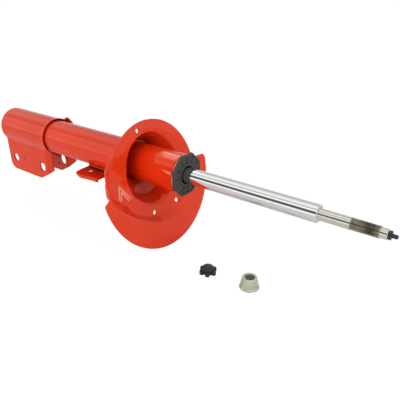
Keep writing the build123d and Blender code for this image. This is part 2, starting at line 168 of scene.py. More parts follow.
# Painted shade: every finish darkens its edges, and body_paint, black_cap and black_knob also darken their
# recesses.
FINISHES = {                 # slot: base colour, worn colour, roughness, and what else material() is told
    "body_paint": ((0.74, 0.033, 0.005), (0.69, 0.028, 0.004), 0.05, {
        "grain": 420.0, "relief": 0.03, "mottle": 14.0, "edge": 0.0013, "edge_shade": 0.85,
        "sheen_tone": (1.0, 0.92, 0.66), "crevice_shade": 0.8}),
    # Painted highlight: a lighter red that stands in for the light caught by the rolled lip at the tube's
    # end and the arrow's ridges.
    "highlight_paint": ((0.84, 0.29, 0.20), (0.80, 0.22, 0.14), 0.2, {"edge_shade": 0.1}),
    "black_cap": ((0.030, 0.029, 0.028), (0.05, 0.047, 0.045), 0.5, {
        "grain": 1500.0, "relief": 0.35, "mottle": 120.0, "edge_shade": 0.2, "crevice_shade": 0.8}),
    "steel": ((0.56, 0.56, 0.55), (0.47, 0.47, 0.46), 0.3, {"metal": 1.0, "streak": (8, 1, 1)}),
    "sintered": ((0.34, 0.33, 0.32), (0.24, 0.23, 0.22), 0.55, {
        "metal": 1.0, "grain": 2500.0, "relief": 0.4}),
    "spring_steel": ((0.46, 0.47, 0.50), (0.36, 0.38, 0.44), 0.22, {"metal": 1.0}),
    "bush": ((0.55, 0.42, 0.24), (0.38, 0.30, 0.20), 0.42, {"metal": 1.0, "grain": 1800.0, "relief": 0.2}),
    "rubber": ((0.028, 0.028, 0.028), (0.045, 0.045, 0.045), 0.7, {"grain": 2200.0, "relief": 0.3}),
    "band": ((0.25, 0.22, 0.18), (0.18, 0.16, 0.13), 0.45, {"grain": 1500.0, "relief": 0.15}),
    "rod_chrome": ((0.84, 0.84, 0.82), (0.80, 0.80, 0.79), 0.07, {
        "metal": 1.0, "grain": 300.0, "relief": 0.01, "mottle": 30.0, "streak": (14, 1, 1),
        "edge_shade": 0.5}),
    "rod_neck": ((0.74, 0.73, 0.66), (0.68, 0.66, 0.57), 0.12, {
        "metal": 1.0, "grain": 500.0, "relief": 0.02, "mottle": 60.0, "streak": (14, 1, 1),
        "edge_shade": 0.5}),
    "rod_thread": ((0.42, 0.40, 0.33), (0.13, 0.10, 0.07), 0.3, {
        "metal": 1.0, "grain": 900.0, "relief": 0.1, "mottle": 90.0, "edge": 0.0003, "edge_shade": 0.5}),
    "brass": ((0.72, 0.56, 0.28), (0.60, 0.44, 0.20), 0.25, {"metal": 1.0, "streak": (8, 1, 1)}),
    "aluminium": ((0.75, 0.75, 0.76), (0.64, 0.64, 0.66), 0.3, {"metal": 1.0, "streak": (8, 1, 1)}),
    "black_tip": ((0.020, 0.020, 0.022), (0.035, 0.035, 0.037), 0.35, {"grain": 1800.0}),
    "zinc": ((0.68, 0.69, 0.60), (0.54, 0.58, 0.38), 0.4, {
        "metal": 0.75, "mottle": 110.0, "grain": 1500.0, "relief": 0.02, "edge": 0.0004, "edge_shade": 0.4}),
    "green_nylon": ((0.17, 0.22, 0.07), (0.10, 0.13, 0.045), 0.5, {"grain": 1500.0, "relief": 0.1}),
    "black_knob": ((0.014, 0.013, 0.013), (0.026, 0.025, 0.025), 0.28, {
        "grain": 1600.0, "relief": 0.1, "mottle": 180.0, "edge_shade": 0.2, "crevice_shade": 0.8}),
}
MATERIALS = {name: material(name, *finish[:3], **finish[3]) for name, finish in FINISHES.items()}
for part in frame["record"]["subparts"]:
    mesh = nodes[part["node"]].data
    mesh.materials.clear()
    mesh.materials.append(MATERIALS[part["material_slot"]])


# ---- mesh helpers -------------------------------------------------------------------------------------
def new_piece(name, points, faces, slot, body, replaced=()):
    """A smooth mesh piece from points in mm. It rides on a body and takes a material slot's finish."""
    mesh = bpy.data.meshes.new(name)
    mesh.from_pydata([Vector(p) * MM for p in points], [], faces)
    piece = bpy.data.objects.new(name, mesh)
    bpy.context.scene.collection.objects.link(piece)
    settle(piece, slot, body, replaced)
    return piece


def settle(piece, slot, body, replaced=()):
    piece.data.materials.clear()
    piece.data.materials.append(MATERIALS[slot])
    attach(piece, body)
    if replaced:
        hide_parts(*replaced)


def bake_modifiers(piece, sharp=35.0):
    """Applies the modifiers, then shades smooth with edges past the sharp angle kept hard."""
    evaluated = piece.evaluated_get(bpy.context.evaluated_depsgraph_get())
    piece.data = bpy.data.meshes.new_from_object(evaluated)
    piece.modifiers.clear()
    shade(piece, sharp)


def shade(piece, sharp=35.0):
    bm = bmesh.new()
    bm.from_mesh(piece.data)
    bmesh.ops.recalc_face_normals(bm, faces=bm.faces)
    for face in bm.faces:
        face.smooth = True
    for edge in bm.edges:
        edge.smooth = not (edge.is_manifold and edge.calc_face_angle(0.0) > math.radians(sharp))
    bm.to_mesh(piece.data)
    bm.free()


def grid_faces(rows, columns, wrap=False):
    """Quads of a grid stored row after row; wrap joins the last column to the first."""
    faces = []
    for i in range(rows - 1):
        for j in range(columns if wrap else columns - 1):
            k = (j + 1) % columns
            faces.append((i * columns + j, i * columns + k, (i + 1) * columns + k, (i + 1) * columns + j))
    return faces


def rounded(corners, reach, steps=6):
    """Points along a polyline whose inner corners are eased over `reach` on each side."""
    corners = [Vector(c) for c in corners]
    line = [corners[0]]
    for before, corner, after, ease in zip(corners, corners[1:], corners[2:], reach):
        start = corner + (before - corner).normalized() * min(ease, (before - corner).length * 0.49)
        end = corner + (after - corner).normalized() * min(ease, (after - corner).length * 0.49)
        for k in range(steps + 1):
            t = k / steps
            line.append(start * (1 - t) ** 2 + corner * 2 * t * (1 - t) + end * t ** 2)
    return line + [corners[-1]]


def ring_join(rows, columns):
    """Quads that join the last row of a wrapped grid to its first."""
    last = (rows - 1) * columns
    return [(last + j, last + (j + 1) % columns, (j + 1) % columns, j) for j in range(columns)]


def ring_caps(rows, columns, start=0):
    """The two end faces of a wrapped grid."""
    last = start + (rows - 1) * columns
    return [tuple(range(start, start + columns)), tuple(range(last, last + columns))]


def sheet_between(outers, inners):
    """Points and faces of a closed sheet, from rows of outer points and matching rows of inner points."""
    across = len(outers[0])
    count = 2 * across
    points = [p for outer, inner in zip(outers, inners) for p in (*outer, *reversed(inner))]
    faces = grid_faces(len(outers), count, wrap=True)
    for first in (0, (len(outers) - 1) * count):
        last = first + count - 1
        faces += [(first + i, first + i + 1, last - 1 - i, last - i) for i in range(across - 1)]
    return points, faces


def even_normals(piece):
    """Flat faces shade flat up to their rounded edges."""
    weighted = piece.modifiers.new("normals", "WEIGHTED_NORMAL")
    weighted.keep_sharp = True


def absorb(piece, other):
    """Adds another piece's mesh to a piece."""
    bm = bmesh.new()
    bm.from_mesh(piece.data)
    bm.from_mesh(other.data)
    bm.to_mesh(piece.data)
    bm.free()
    bpy.data.objects.remove(other)


def smooth_step(value, low, high):
    t = min(1.0, max(0.0, (value - low) / (high - low)))
    return t * t * (3 - 2 * t)


# ---- spring seat --------------------------------------------------------------------------------------
SEAT_NORMAL = Vector((math.cos(SEAT_TILT), 0.0, math.sin(SEAT_TILT)))
SEAT_UP = Vector((-math.sin(SEAT_TILT), 0.0, math.cos(SEAT_TILT)))
WELL_FLOOR_R = 38.7
WELL_LIP_R = 52.0
CREASE = 165.0               # where the ramp leaves the flat ring, in degrees about the well's centre
RACEWAY_DROP = 5.0           # how far the ramp takes the raceway down
FLANGE_START = 187.8
FLANGE_END = 355.0
FLANGE_RISE = 8.0
FLANGE_R = 106.5
FLANGE_CENTRE = (1.0, 6.0)
RING_R = 85.0
COLLAR_START = 300.0
STOP_EDGE = [(-41.0, 74.5), (-84.0, 41.0), (-87.5, 36.0)]   # straight edges beside the spring's stop
FOOT_R = 69.5                # foot of the step from the raceway up to the flange
STEP_R = 77.5                # top of that step
STEP_FOOT = ([165.0, 178.0, 188.0, 199.0, 213.0], [82.0, 86.0, 89.0, 79.0, FOOT_R])   # its foot, by angle
RAMP_EDGE = [(163.4, 87.6), (167.1, 89.8), (178.2, 92.3), (187.8, 96.3)]   # its edge: (angle, radius)
DRAIN_HOLES = [(-16.0, 74.0), (-14.0, -47.5), (33.0, -45.0)]
DRAIN_R = 3.5


def on_seat(across, up, out=0.0):
    """A point from the seat's own plane, in mm."""
    return SEAT_CENTRE + Vector((0, 1, 0)) * across + SEAT_UP * up + SEAT_NORMAL * out


def polar(angle, radius, out=0.0):
    """A point about the well's centre."""
    a = math.radians(angle)
    return on_seat(radius * math.cos(a), WELL_OFFSET + radius * math.sin(a), out)


def reach_circle(angle, centre, radius):
    """How far a circle in the seat's plane lies from the well's centre at that angle."""
    a = math.radians(angle)
    ax, ay = math.cos(a), math.sin(a)
    cx, cy = centre[0], centre[1] - WELL_OFFSET
    along = cx * ax + cy * ay
    return along + math.sqrt(max(0.0, along * along - cx * cx - cy * cy + radius * radius))


def reach_edge(angle, start, end):
    """How far a straight edge lies from the well's centre at that angle, or 0 where it isn't crossed."""
    a = math.radians(angle)
    ax, ay = math.cos(a), math.sin(a)
    sx, sy = start[0], start[1] - WELL_OFFSET
    ex, ey = end[0] - start[0], end[1] - start[1]
    cross = ax * ey - ay * ex
    if abs(cross) < 1e-9:
        return 0.0
    share = (sx * ay - sy * ax) / cross
    return (sx * ey - sy * ex) / cross if -0.001 <= share <= 1.001 else 0.0


def ring_reach(angle):
    """Outer edge of the seat inside the flange."""
    if RAMP_EDGE[0][0] < angle < FLANGE_END:
        if angle <= FLANGE_START:
            return float(np.interp(angle, [p[0] for p in RAMP_EDGE], [p[1] for p in RAMP_EDGE]))
        return RAMP_EDGE[-1][1] - 8.0 * (angle - FLANGE_START) / (FLANGE_END - FLANGE_START)
    edges = [reach_edge(angle, a, b) for a, b in zip(STOP_EDGE, STOP_EDGE[1:])]
    return max([reach_circle(angle, (0, 0), RING_R)] + edges)


def raceway_level(angle, radius):
    """Height of the raceway: flat ring, steep ramp past the crease, then a slow helical climb back."""
    if not CREASE < angle < FLANGE_END:
        return 0.0
    ramp_end = max(CREASE + 13.0, 184.0 + (68.6 - radius) * 2.5)
    fall = min(1.0, (angle - CREASE) / (ramp_end - CREASE))
    climb = smooth_step(angle, 215.0, FLANGE_END)
    return -RACEWAY_DROP * fall * (1 - climb)


def rim_level(angle):
    """Height of the seat's outer part: it climbs to the flange along the ramp, then falls past its end."""
    climb = min(1.0, max(0.0, (angle - CREASE) / (FLANGE_START - CREASE)))
    back = 1 - smooth_step(angle, -5.0, -1.0) if angle < 180.0 else 0.0
    return FLANGE_RISE * max(back, climb)


def tube_meets(angle, out):
    """Radius at which the seat's plane, raised by `out`, meets the tube at that angle."""
    low, high = 0.0, 60.0
    for _ in range(40):
        middle = (low + high) / 2
        point = polar(angle, middle, out)
        low, high = (middle, high) if math.hypot(point.y, point.z) < TUBE_R - 0.05 else (low, middle)
    return low


def seat_column(angle):
    """Corners of one radial line of the pressing, from the collar on the tube to the outer edge."""
    inner = tube_meets(angle, -WELL_ROOT)
    root = polar(angle, inner, -WELL_ROOT)
    collar = Vector((COLLAR_START, root.y, root.z))
    outer = ring_reach(angle)
    foot = float(np.interp(angle, *STEP_FOOT)) if angle > 90 else FOOT_R
    if not CREASE < angle < FLANGE_END:
        foot = min(foot, WELL_LIP_R + (outer - WELL_LIP_R) * 0.55)
    top = STEP_R
    if angle > 150:
        top += (outer - 2.5 - STEP_R) * (1 - smooth_step(angle, 188.0, 238.0))
    top = min(top, foot + (outer - foot) * 0.6) if not CREASE < angle < FLANGE_END else top
    low, high = raceway_level(angle, foot), rim_level(angle)
    lip = raceway_level(angle, WELL_LIP_R + 3)
    floor = max(WELL_FLOOR_R, inner + 2.5)
    return [
        collar, root, polar(angle, floor, -WELL_DEPTH), polar(angle, WELL_LIP_R, lip),
        polar(angle, foot, low), polar(angle, top, high), polar(angle, outer, high),
    ]


def seat_angles():
    """Angles of the radial lines: fine round the crease, the ramp and the flange's ends."""
    spans = [(-5.0, 0.0, 0.5), (0.0, 160.0, 2.0), (160.0, 164.0, 1.0), (164.0, 166.0, 0.25)]
    spans += [(166.0, FLANGE_START, 0.99), (FLANGE_START, 240.0, 1.2), (240.0, 340.0, 2.0)]
    spans += [(340.0, FLANGE_END, 1.0)]
    angles = []
    for first, last, step in spans:
        count = max(1, round((last - first) / step))
        angles += [first + (last - first) * i / count for i in range(count)]
    return angles


def drill(piece, centre, axis, radius, depth, stretch=0.0):
    """Cuts a round hole, or a slot stretched upwards, with its rim left for the bevel."""
    mesh = bpy.data.meshes.new("drill")
    bm = bmesh.new()
    wide = radius * MM
    bmesh.ops.create_cone(bm, cap_ends=True, segments=48, radius1=wide, radius2=wide, depth=depth * MM)
    for corner in bm.verts:
        corner.co.y += math.copysign(stretch / 2 * MM, corner.co.y)
    bm.to_mesh(mesh)
    bm.free()
    cutter = bpy.data.objects.new("drill", mesh)
    turn = Vector(axis).to_track_quat("Z", "Y").to_matrix().to_4x4()
    cutter.data.transform(Matrix.Translation(Vector(centre) * MM) @ turn)
    bpy.context.scene.collection.objects.link(cutter)
    cut = piece.modifiers.new("drill", "BOOLEAN")
    cut.operation = "DIFFERENCE"
    cut.solver = "EXACT"
    cut.object = cutter
    return cutter


def add_bevel(piece, width, angle=35.0):
    """Rounds the edges past an angle by a width in mm."""
    bevel = piece.modifiers.new("edges", "BEVEL")
    bevel.width = width * MM
    bevel.segments = 2
    bevel.limit_method = "ANGLE"
    bevel.angle_limit = math.radians(angle)
    bevel.use_clamp_overlap = True


def spring_seat():
    """Pressed dish: well, raceway, step and flange, one sheet thick."""
    angles = seat_angles()
    columns = [rounded(seat_column(a), (4.0, 3.0, 4.5, 3.0, 3.0), 6) for a in angles]
    rows = len(columns[0])
    count = len(angles)
    points = [columns[j][i] for i in range(rows) for j in range(count)]
    faces = grid_faces(rows, count, wrap=True)
    # The flange runs on outwards from the rim between its two ends.
    first = next(j for j, a in enumerate(angles) if a >= FLANGE_START - 0.01)
    flange = list(range(first, count)) + [0]
    steps = 8
    for k in range(1, steps + 1):
        for j in flange:
            angle = angles[j] if angles[j] > 0 else 360.0 + angles[j]
            slant = 2.4 * (1 - smooth_step(angle, FLANGE_START, 215.0))
            tip = angle + slant
            far = reach_circle(tip, FLANGE_CENTRE, FLANGE_R) - 3.2 * smooth_step(angle, 351.5, 355.0)
            edge = polar(tip, far, FLANGE_RISE)
            rim = columns[j][-1]
            points.append(rim.lerp(edge, k / steps))
    start = rows * count
    width = len(flange)
    rim_row = [(rows - 1) * count + j for j in flange]
    lines = [rim_row] + [[start + k * width + i for i in range(width)] for k in range(steps)]
    for a, b in zip(lines, lines[1:]):
        faces += [(a[i], a[i + 1], b[i + 1], b[i]) for i in range(width - 1)]
    seat = new_piece("spring_seat_pressing", points, faces, "body_paint", "strut_body", ["spring_seat"])
    bm = bmesh.new()
    bm.from_mesh(seat.data)
    bmesh.ops.recalc_face_normals(bm, faces=bm.faces)
    sample = max(bm.faces, key=lambda f: f.calc_center_median().z)
    if sample.normal.dot(SEAT_NORMAL) < 0:
        bmesh.ops.reverse_faces(bm, faces=bm.faces)
    bm.to_mesh(seat.data)
    bm.free()
    sheet = seat.modifiers.new("sheet", "SOLIDIFY")
    sheet.thickness = SEAT_SHEET * MM
    sheet.offset = -1.0
    cutters = [drill(seat, on_seat(v, u), SEAT_NORMAL, DRAIN_R, 60.0) for v, u in DRAIN_HOLES]
    add_bevel(seat, 0.55, 50.0)
    bake_modifiers(seat, 40.0)
    for cutter in cutters:
        bpy.data.objects.remove(cutter)
    return seat


seat = spring_seat()


# ---- mounting arrow on the seat's ramp ----------------------------------------------------------------
ARROW = [[(-72.3, -7.0), (-68.5, 11.4), (-52.3, -11.8)], [(-69.6, -9.6), (-66.0, 3.6), (-56.2, -13.4)]]


def seat_arrow(seat):
    """Two nested chevrons pressed up from the ramp, in the seat's plane, in a lighter red that is a painted
    highlight.
    """
    surface = BVHTree.FromObject(seat, bpy.context.evaluated_depsgraph_get())
    half, height = 1.4, 1.0
    shoulder = (half * 0.55, height * 0.8)
    profile = [(-half, -0.4), (-half, 0.05), (-shoulder[0], shoulder[1]), (0, height), shoulder]
    profile += [(half, 0.05), (half, -0.4)]
    points, faces = [], []
    for corners in ARROW:
        line = rounded([(*c, 0) for c in corners], (0.8,), 3)
        path = []
        for a, b in zip(line, line[1:]):
            count = max(1, round((b - a).length))
            path += [a.lerp(b, k / count) for k in range(count)]
        path.append(line[-1])
        start = len(points)
        for i, spot in enumerate(path):
            along = (path[min(i + 1, len(path) - 1)] - path[max(i - 1, 0)]).normalized()
            side = Vector((-along.y, along.x, 0))
            for across, rise in profile:
                place = spot + side * across
                hit = surface.ray_cast(on_seat(place.x, place.y, 20.0) * MM, -SEAT_NORMAL)[0]
                points.append(hit / MM + SEAT_NORMAL * rise)
        count = len(profile)
        faces += [tuple(start + v for v in face) for face in grid_faces(len(path), count, wrap=True)]
        faces += ring_caps(len(path), count, start)
    arrow = new_piece("seat_arrow", points, faces, "body_paint", "strut_body")
    # Painted highlight: the ridges take a lighter red for the light they catch.
    arrow.data.materials[0] = MATERIALS["highlight_paint"]
    shade(arrow, 50.0)


seat_arrow(seat)


# ---- brace with softened edges ------------------------------------------------------------------------
def softened(node, name, slot, body, width, angle=30.0):
    """Stands for a CAD node with the same shape and its hard edges rounded."""
    piece = bpy.data.objects.new(name, nodes[node].data.copy())
    bpy.context.scene.collection.objects.link(piece)
    bm = bmesh.new()
    bm.from_mesh(piece.data)
    bmesh.ops.remove_doubles(bm, verts=bm.verts, dist=1e-6)
    bmesh.ops.dissolve_limit(bm, angle_limit=math.radians(0.5), verts=bm.verts, edges=bm.edges)
    bm.to_mesh(piece.data)
    bm.free()
    settle(piece, slot, body, [node])
    add_bevel(piece, width, angle)
    bake_modifiers(piece, angle)
    even_normals(piece)


softened("bracket_brace", "bracket_brace_pressing", "body_paint", "strut_body", 0.4)


# ---- knuckle bracket ----------------------------------------------------------------------------------
PLATE = 2.6
EAR_Y = 23.0                 # outer face of the ears
NECK_BEND = 7.0              # outer bend between the wrap and an ear
BRACKET_FOLD = 109.0
BRACKET_END = 120.0
EAR_BOTTOM = -76.0
EAR_CORNER = 13.0
EAR_FOOT = ([88.0, 109.0, 120.0], [EAR_BOTTOM, -64.5])   # x and height along it, but for the front's
NEAR_FOOT = -57.0
FAR_FOOT = -54.0
FLARE_FROM = 52.0            # angle about the tube where the front edge turns from tucked in to flared out
LIP_GAP = 2.2                # between the tube and the lip of the wrap
BOLT_R = 7.1
BOLT_Z = -53.0


def bracket_bend(x):
    """0 behind the crease and 1 at the front edge, eased over the crease."""
    past, ease, depth = x - BRACKET_FOLD, 1.5, BRACKET_END - BRACKET_FOLD
    if past < -ease:
        return 0.0
    return (past + ease) ** 2 / (4 * ease) / depth if past < ease else past / depth


def ear_foot(x, front):
    """Height of an ear's lower edge at x."""
    if x < EAR_CORNER:
        return EAR_BOTTOM + EAR_CORNER - math.sqrt(EAR_CORNER ** 2 - (EAR_CORNER - x) ** 2)
    return float(np.interp(x, EAR_FOOT[0], EAR_FOOT[1] + [front]))


def ear_section(wrap_r, ear_y, foot, wrap_sheet):
    """Outer and inner (y, z) lines of the +Y ear and its neck, from the foot up, and the neck's turn."""
    centre_y = ear_y + NECK_BEND
    centre_z = -math.sqrt((wrap_r + NECK_BEND) ** 2 - centre_y ** 2)
    turn = math.atan2(-centre_z, centre_y)
    outer, inner = [], []
    for i in range(8):
        z = foot + (centre_z - foot) * i / 8
        outer.append((ear_y, z))
        inner.append((ear_y - PLATE, z))
    for i in range(9):
        a = turn * i / 8
        bend = NECK_BEND + PLATE + (wrap_sheet - PLATE) * i / 8
        outer.append((centre_y - NECK_BEND * math.cos(a), centre_z + NECK_BEND * math.sin(a)))
        inner.append((centre_y - bend * math.cos(a), centre_z + bend * math.sin(a)))
    return outer, inner, math.degrees(turn)


def bracket_rows(x):
    """Outer and inner points of the bracket's section at x, from the near ear's foot to the far one's."""
    bend = bracket_bend(x)
    near_r, far_r = TUBE_R + PLATE + 0.8 * bend, TUBE_R + PLATE + 7.0 * bend
    near_bore = TUBE_R + 0.05 + LIP_GAP * bend
    near = ear_section(near_r, EAR_Y - 4.0 * bend, ear_foot(x, NEAR_FOOT), near_r - near_bore)
    far = ear_section(far_r, EAR_Y + 8.0 * bend, ear_foot(x, FAR_FOOT), PLATE)
    outer = [(x, -y, z) for y, z in near[0]]
    inner = [(x, -y, z) for y, z in near[1]]
    angles = list(np.linspace(180 + near[2], FLARE_FROM + 3, 40)[1:])
    angles += list(np.linspace(FLARE_FROM + 3, FLARE_FROM - 3, 9)[1:])
    angles += list(np.linspace(FLARE_FROM - 3, -far[2], 26)[1:-1])
    for angle in angles:
        tucked = smooth_step(angle, FLARE_FROM - 2, FLARE_FROM + 2)
        a = math.radians(angle)
        for line, r in ((outer, far_r + (near_r - far_r) * tucked),
                        (inner, far_r - PLATE + (near_bore - far_r + PLATE) * tucked)):
            line.append((x, r * math.cos(a), r * math.sin(a)))
    outer += [(x, y, z) for y, z in reversed(far[0])]
    inner += [(x, y, z) for y, z in reversed(far[1])]
    return outer, inner


def knuckle_bracket():
    """Plate wrapped round the tube, with an ear on each side."""
    stations = [0, 0.4, 1.2, 2.5, 4.5, 7, 10, 13, 25, 40, 60, 80, 86.5, 88, 89.5, 95, 103, 107.5]
    stations += [108.25, 109, 109.75, 110.5, 112.5, 115, 118, 120]
    rows = [bracket_rows(x) for x in stations]
    points, faces = sheet_between([r[0] for r in rows], [r[1] for r in rows])
    name = "knuckle_bracket_pressing"
    bracket = new_piece(name, points, faces, "body_paint", "strut_body", ["knuckle_bracket"])
    shade(bracket)
    through = (0, 1, 0)
    cutters = [
        drill(bracket, (19, 0, BOLT_Z), through, BOLT_R, 120),
        drill(bracket, (96, 0, BOLT_Z), through, BOLT_R, 120, 2.8),
        drill(bracket, (47, -EAR_Y, -48), through, 2.8, 12),
        drill(bracket, (6, -EAR_Y, -34), through, 0.9, 2.6),
        drill(bracket, (58, -EAR_Y, -35), through, 0.9, 2.6),
        drill(bracket, (81.7, EAR_Y - PLATE, -63), through, 2.3, 3.8),
    ]
    add_bevel(bracket, 0.5, 40.0)
    bake_modifiers(bracket, 40.0)
    even_normals(bracket)
    for cutter in cutters:
        bpy.data.objects.remove(cutter)


knuckle_bracket()


# ---- hose bracket and weld beads ----------------------------------------------------------------------
TAB_TOP = -30.2
TAB_SHEET = 2.5
TAB_EDGE = [(203.0, -31.0), (205.0, -38.0), (221.0, -44.5), (238.0, -38.6), (254.0, -38.0)]   # (x, y)
TAB_SKIRT = ([203.0, 215.0, 226.0, 238.0, 254.0], [0.6, 1.0, 2.4, 3.6, 3.8])   # its lip's drop, by x


def hose_bracket():
    """Flat tab whose near edge is folded down, on a saddle under the tube."""
    edge = rounded([(x, y, 0) for x, y in TAB_EDGE], (3.0, 5.0, 5.0), 8)
    lines = []
    for before, spot, after in zip([edge[0]] + edge, edge, edge[1:] + [edge[-1]]):
        along = (after - before).normalized()
        out = Vector((along.y, -along.x, 0))
        fold = 1.6
        skirt = float(np.interp(spot.x, *TAB_SKIRT))
        line = [Vector((spot.x, 4 + (spot.y - out.y * fold - 4) * k / 6, TAB_TOP)) for k in range(6)]
        for k in range(6):
            a = math.pi / 2 * k / 5
            height = Vector((0, 0, TAB_TOP - fold * (1 - math.cos(a))))
            line.append(spot - out * fold * (1 - math.sin(a)) + height)
        lines.append(line + [spot + Vector((0, 0, TAB_TOP - fold - skirt))])
    points = [p for line in lines for p in line]
    faces = grid_faces(len(lines), len(lines[0]))
    tab = new_piece("hose_bracket_pressing", points, faces, "body_paint", "strut_body", ["hose_bracket"])
    shade(tab)
    if tab.data.polygons[0].normal.z < 0:
        tab.data.flip_normals()
    sheet = tab.modifiers.new("sheet", "SOLIDIFY")
    sheet.thickness = TAB_SHEET * MM
    sheet.offset = -1.0
    cutter = drill(tab, (220, -20.5, TAB_TOP), (0, 0, 1), 4.2, 20)
    add_bevel(tab, 0.45, 50.0)
    bake_modifiers(tab, 40.0)
    bpy.data.objects.remove(cutter)
    arcs = [math.radians(a) for a in np.linspace(248, 300, 20)]
    rows = [
        [[(x, r * math.cos(a), r * math.sin(a)) for a in arcs] for x in (206.0, 222.0, 238.0, 254.0)]
        for r in (TUBE_R + 3.5, TUBE_R + 0.02)
    ]
    points, faces = sheet_between(*rows)
    saddle = new_piece("saddle", points, faces, "body_paint", "strut_body")
    add_bevel(saddle, 0.5)
    bake_modifiers(saddle)
    absorb(tab, saddle)
    even_normals(tab)


def weld_bead(name, path, outward, radius, closed=False):
    """Rippled bead along a path; `outward` gives the direction away from the metal at each point."""
    path = [Vector(p) for p in path]
    sides = 10
    points = []
    for i, spot in enumerate(path):
        before = path[i - 1] if i or closed else spot
        after = path[(i + 1) % len(path)] if i + 1 < len(path) or closed else spot
        along = (after - before).normalized()
        out = Vector(outward(spot)).normalized()
        side = along.cross(out)
        ends = 1.0 if closed else min(1.0, 0.35 + 0.3 * min(i, len(path) - 1 - i))
        swell = radius * ends * (1 + 0.14 * math.sin(i * math.pi / 2))
        for k in range(sides):
            a = 2 * math.pi * k / sides
            points.append(spot + (out * math.cos(a) + side * math.sin(a)) * swell)
    faces = grid_faces(len(path), sides, wrap=True)
    faces += ring_join(len(path), sides) if closed else ring_caps(len(path), sides)
    shade(new_piece(name, points, faces, "body_paint", "strut_body"), 60.0)


def welds():
    """Beads behind the seat's collar and beside the hose bracket's saddle."""
    r = 28.3
    ring = [(299.6, r * math.cos(a), r * math.sin(a)) for a in np.linspace(0, 2 * math.pi, 181)[:-1]]
    weld_bead("seat_weld", ring, lambda p: (-1.0, p.y / r, p.z / r), 1.9, closed=True)
    for number, angle in enumerate((247.0, 301.0), 1):
        y, z = 28.6 * math.cos(math.radians(angle)), 28.6 * math.sin(math.radians(angle))
        line = [(x, y, z) for x in np.arange(209.0, 251.5, 1.0)]
        weld_bead(f"hose_weld_{number}", line, lambda p: (0, p.y, p.z), 1.7)


hose_bracket()
welds()


# ---- bump cap and the ring behind it ------------------------------------------------------------------
CAP_BACK = 393.5
CAP_FACE = 397.0
CAP_FLAT = 28.4              # from the axis to each of the octagon's flats
CAP_COLUMNS = 144
CAP_GROOVES = 12


def bump_cap():
    """Octagonal moulding: a rim round the bore, then pads parted by radial grooves."""
    # (share of the way out to the octagon's edge, radius added, x, how much the grooves cut)
    lines = [(0, 11.7, CAP_BACK - 1.5, 0), (0, 11.7, CAP_BACK + 0.6, 0), (0, 12.4, CAP_FACE - 1.2, 0)]
    lines += [(0, 13.0, CAP_FACE - 0.4, 0), (0, 13.5, CAP_FACE - 0.05, 0), (0, 14.1, CAP_FACE, 0)]
    lines += [(0, 15.2, CAP_FACE, 0), (0, 15.7, CAP_FACE - 0.3, 0), (0, 16.2, CAP_FACE - 1.2, 0)]
    lines += [(0, 17.2, CAP_FACE - 1.2, 0), (0, 17.7, CAP_FACE - 0.5, 1), (0, 18.3, CAP_FACE - 0.25, 1)]
    lines += [(0, 21.0, CAP_FACE - 0.2, 1), (0, 24.6, CAP_FACE - 0.25, 1), (0, 25.2, CAP_FACE - 0.5, 1)]
    lines += [(0, 25.6, CAP_FACE - 0.9, 0), (0, 26.0, CAP_FACE - 0.9, 0), (0, 26.4, CAP_FACE - 0.2, 0)]
    lines += [(1, -1.0, CAP_FACE, 0), (1, -0.1, CAP_FACE - 0.2, 0), (1, 0.3, CAP_FACE - 0.7, 0)]
    lines += [(1, 0.3, CAP_BACK + 0.4, 0), (1, 0, CAP_BACK, 0)]
    lines += [(0, 14.5, CAP_BACK, 0), (0, 14.5, CAP_BACK - 1.5, 0)]
    points = []
    spacing = 360.0 / CAP_GROOVES
    for outer, radius, x, cut in lines:
        for j in range(CAP_COLUMNS):
            degrees = 360.0 * j / CAP_COLUMNS
            flat = (degrees + 22.5) % 45.0 - 22.5
            r = radius + outer * CAP_FLAT / math.cos(math.radians(flat))
            off = abs((degrees + spacing / 2) % spacing - spacing / 2)
            depth = 1.5 * cut * (1 - smooth_step(off, 2.2, 6.0))
            a = math.radians(degrees)
            points.append((x - depth, r * math.cos(a), r * math.sin(a)))
    faces = grid_faces(len(lines), CAP_COLUMNS, wrap=True) + ring_join(len(lines), CAP_COLUMNS)
    shade(new_piece("bump_cap_moulding", points, faces, "black_cap", "strut_body", ["bump_cap"]), 38.0)


def end_ring():
    """Rolled bead that stands clear of the tube's end, with a dark groove between them; its lighter red is
    a painted highlight on the rolled lip.
    """
    outline = [(391.5, 14.5), (391.5, 25.0), (391.9, 25.5), (392.0, 27.5), (392.15, 28.5), (392.6, 29.0)]
    outline += [(393.0, 29.1), (393.3, 28.9), (393.48, 28.4), (393.5, 27.6), (393.5, 14.5)]
    ring = new_piece("end_ring_rolled", *turned(outline, 96), "body_paint", "strut_body", ["end_ring"])
    # Painted highlight: a lighter red for the light the rolled lip catches.
    ring.data.materials[0] = MATERIALS["highlight_paint"]
    shade(ring, 40.0)


# ---- rod ----------------------------------------------------------------------------------------------
def turned(outline, segments=72):
    """Points and faces of a closed outline of (x, radius) spun about the strut's axis."""
    points = []
    for x, radius in outline:
        for j in range(segments):
            a = 2 * math.pi * j / segments
            r = radius(a) if callable(radius) else radius
            points.append((x, r * math.cos(a), r * math.sin(a)))
    return points, grid_faces(len(outline), segments, wrap=True) + ring_join(len(outline), segments)


def thread_radius(x):
    """Radius of the helical thread at x, by angle; it fades out at both ends."""
    fade = smooth_step(x, THREAD_START, THREAD_START + 1.5)
    fade *= 1 - smooth_step(x, THREAD_END - 0.8, THREAD_END + 0.6)

    def radius(angle):
        turn = (x / THREAD_PITCH + angle / (2 * math.pi)) % 1.0
        depth = min(1.0, max(0.0, 1.25 * (1 - abs(2 * turn - 1)) - 0.12))
        return NECK_R - THREAD_DEPTH * depth * fade
    return radius


